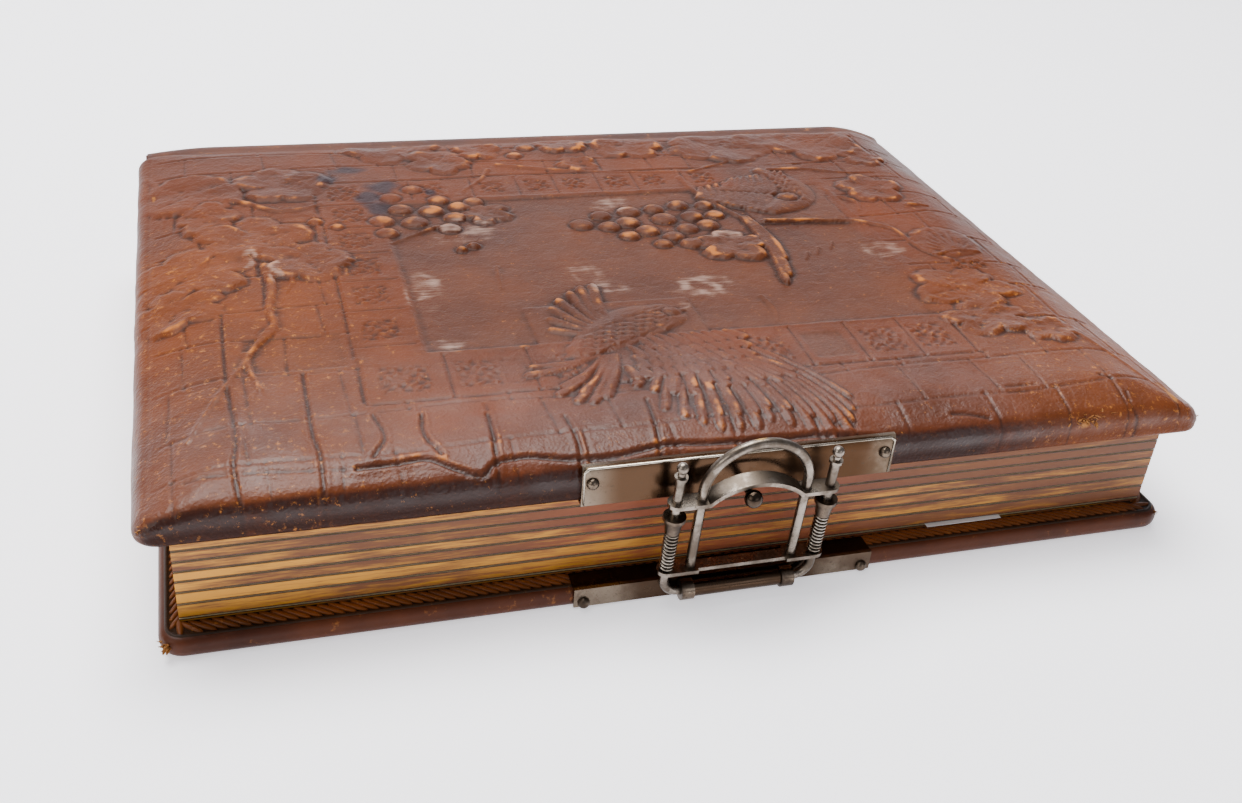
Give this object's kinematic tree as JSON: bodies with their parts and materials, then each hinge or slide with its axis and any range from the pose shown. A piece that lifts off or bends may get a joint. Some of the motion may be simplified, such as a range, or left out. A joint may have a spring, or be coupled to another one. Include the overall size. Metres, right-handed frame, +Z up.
{
  "type": "photograph album",
  "caption": "Padded embossed leather photograph album with thick gilt-edged window leaves and a sprung nickel clasp on its fore edge.",
  "frame": {"origin": "middle of the back cover's rest face, with the album closed and lying on its back cover", "axes": "+X along the fore edge and spine, -Y the fore edge with the clasp, +Y the spine, +Z up through the closed album"},
  "size_m": [0.28, 0.2197, 0.0514],
  "materials": {
    "embossed_leather": "glazed, embossed and worn",
    "plain_leather": "glazed, worn",
    "tooled_leather": "blind tooled rope border",
    "binder_board": "raw grey-brown board",
    "wadding": "cotton wadding",
    "end_paper": "coated end paper",
    "slip_paper": "plain white slip",
    "guard_linen": "linen guard cloth",
    "gilt_card": "cream card, gilt on its edges",
    "gilt_mat": "cream card mat, gilt on its edges",
    "nickel_plate": "nickel plated sheet, tarnished",
    "nickel_wire": "nickel plated wire, tarnished",
    "spring_steel": "plated spring wire"
  },
  "bodies": {
    "back_cover": {"back_board": "binder_board", "back_leather": "plain_leather", "back_turn_in": "tooled_leather", "back_endpaper": "end_paper", "rear_flyleaf": "end_paper", "paper_slip": "slip_paper", "lower_clasp_plate": "nickel_plate", "lower_plate_pins": "nickel_plate", "hinge_knuckles": "nickel_plate"},
    "spine": {"spine_stiffener": "binder_board", "spine_leather": "plain_leather", "guard_stubs": "binder_board"},
    "front_cover": {"front_board": "binder_board", "front_padding": "wadding", "front_leather": "embossed_leather", "front_turn_in": "tooled_leather", "front_endpaper": "end_paper", "upper_clasp_plate": "nickel_plate", "upper_plate_pins": "nickel_plate", "ball_stud": "nickel_wire"},
    "clasp_rods": {"rod_left": "nickel_wire", "rod_right": "nickel_wire", "spring_left": "spring_steel", "spring_right": "spring_steel", "spring_collars": "nickel_wire"},
    "clasp_frame": {"bail": "nickel_wire", "catch_bar": "nickel_plate", "lower_strap": "nickel_plate"},
    "leaf_1": {"leaf_1_back_mat": "gilt_mat", "leaf_1_core": "gilt_card", "leaf_1_front_mat": "gilt_mat", "leaf_1_guard": "guard_linen"},
    "leaf_2": {"leaf_2_back_mat": "gilt_mat", "leaf_2_core": "gilt_card", "leaf_2_front_mat": "gilt_mat", "leaf_2_guard": "guard_linen"},
    "leaf_3": {"leaf_3_back_mat": "gilt_mat", "leaf_3_core": "gilt_card", "leaf_3_front_mat": "gilt_mat", "leaf_3_guard": "guard_linen"},
    "leaf_4": {"leaf_4_back_mat": "gilt_mat", "leaf_4_core": "gilt_card", "leaf_4_front_mat": "gilt_mat", "leaf_4_guard": "guard_linen"},
    "leaf_5": {"leaf_5_back_mat": "gilt_mat", "leaf_5_core": "gilt_card", "leaf_5_front_mat": "gilt_mat", "leaf_5_guard": "guard_linen"},
    "leaf_6": {"leaf_6_back_mat": "gilt_mat", "leaf_6_core": "gilt_card", "leaf_6_front_mat": "gilt_mat", "leaf_6_guard": "guard_linen"},
    "leaf_7": {"leaf_7_back_mat": "gilt_mat", "leaf_7_core": "gilt_card", "leaf_7_front_mat": "gilt_mat", "leaf_7_guard": "guard_linen"},
    "leaf_8": {"leaf_8_back_mat": "gilt_mat", "leaf_8_core": "gilt_card", "leaf_8_front_mat": "gilt_mat", "leaf_8_guard": "guard_linen"}
  },
  "joints": [
    {"name": "front_cover_fold", "type": "hinge", "parent": "spine", "child": "front_cover", "pos_m": [0, 0.10335, 0.0445], "axis": [-1, 0, 0], "range_deg": [0, 90]},
    {"name": "spine_fold", "type": "hinge", "parent": "back_cover", "child": "spine", "pos_m": [0, 0.10285, 0.0037], "axis": [-1, 0, 0], "range_deg": [0, 90]},
    {"name": "leaf_1_fold", "type": "hinge", "parent": "spine", "child": "leaf_1", "pos_m": [0, 0.09385, 0.00905], "axis": [-1, 0, 0], "range_deg": [-70, 0]},
    {"name": "leaf_2_fold", "type": "hinge", "parent": "spine", "child": "leaf_2", "pos_m": [0, 0.09385, 0.0129], "axis": [-1, 0, 0], "range_deg": [-50, 0]},
    {"name": "leaf_3_fold", "type": "hinge", "parent": "spine", "child": "leaf_3", "pos_m": [0, 0.09385, 0.01625], "axis": [-1, 0, 0], "range_deg": [-30, 0]},
    {"name": "leaf_4_fold", "type": "hinge", "parent": "spine", "child": "leaf_4", "pos_m": [0, 0.09385, 0.0193], "axis": [-1, 0, 0], "range_deg": [-10, 0]},
    {"name": "leaf_5_fold", "type": "hinge", "parent": "spine", "child": "leaf_5", "pos_m": [0, 0.09385, 0.0222], "axis": [-1, 0, 0], "range_deg": [0, 10]},
    {"name": "leaf_6_fold", "type": "hinge", "parent": "spine", "child": "leaf_6", "pos_m": [0, 0.09385, 0.0252], "axis": [-1, 0, 0], "range_deg": [0, 30]},
    {"name": "leaf_7_fold", "type": "hinge", "parent": "spine", "child": "leaf_7", "pos_m": [0, 0.09385, 0.02825], "axis": [-1, 0, 0], "range_deg": [0, 50]},
    {"name": "leaf_8_fold", "type": "hinge", "parent": "spine", "child": "leaf_8", "pos_m": [0, 0.09385, 0.0313], "axis": [-1, 0, 0], "range_deg": [0, 70]},
    {"name": "clasp_swing", "type": "hinge", "parent": "back_cover", "child": "clasp_rods", "pos_m": [0.0042, -0.10465, 0.0037], "axis": [1, 0, 0], "range_deg": [-2, 84]},
    {"name": "clasp_lift", "type": "slide", "parent": "clasp_rods", "child": "clasp_frame", "axis": [0, -0.1045, 0.9945], "range_m": [0, 0.005], "stiffness_N_per_m": 240, "springref_m": -0.003, "deforming": ["spring_left", "spring_right"]}
  ],
  "couplings": [
    {"joint": "spine_fold", "follows": "front_cover_fold", "ratio": 1},
    {"joint": "leaf_1_fold", "follows": "front_cover_fold", "ratio": -0.77778},
    {"joint": "leaf_2_fold", "follows": "front_cover_fold", "ratio": -0.55556},
    {"joint": "leaf_3_fold", "follows": "front_cover_fold", "ratio": -0.33333},
    {"joint": "leaf_4_fold", "follows": "front_cover_fold", "ratio": -0.11111},
    {"joint": "leaf_5_fold", "follows": "front_cover_fold", "ratio": 0.11111},
    {"joint": "leaf_6_fold", "follows": "front_cover_fold", "ratio": 0.33333},
    {"joint": "leaf_7_fold", "follows": "front_cover_fold", "ratio": 0.55556},
    {"joint": "leaf_8_fold", "follows": "front_cover_fold", "ratio": 0.77778}
  ]
}
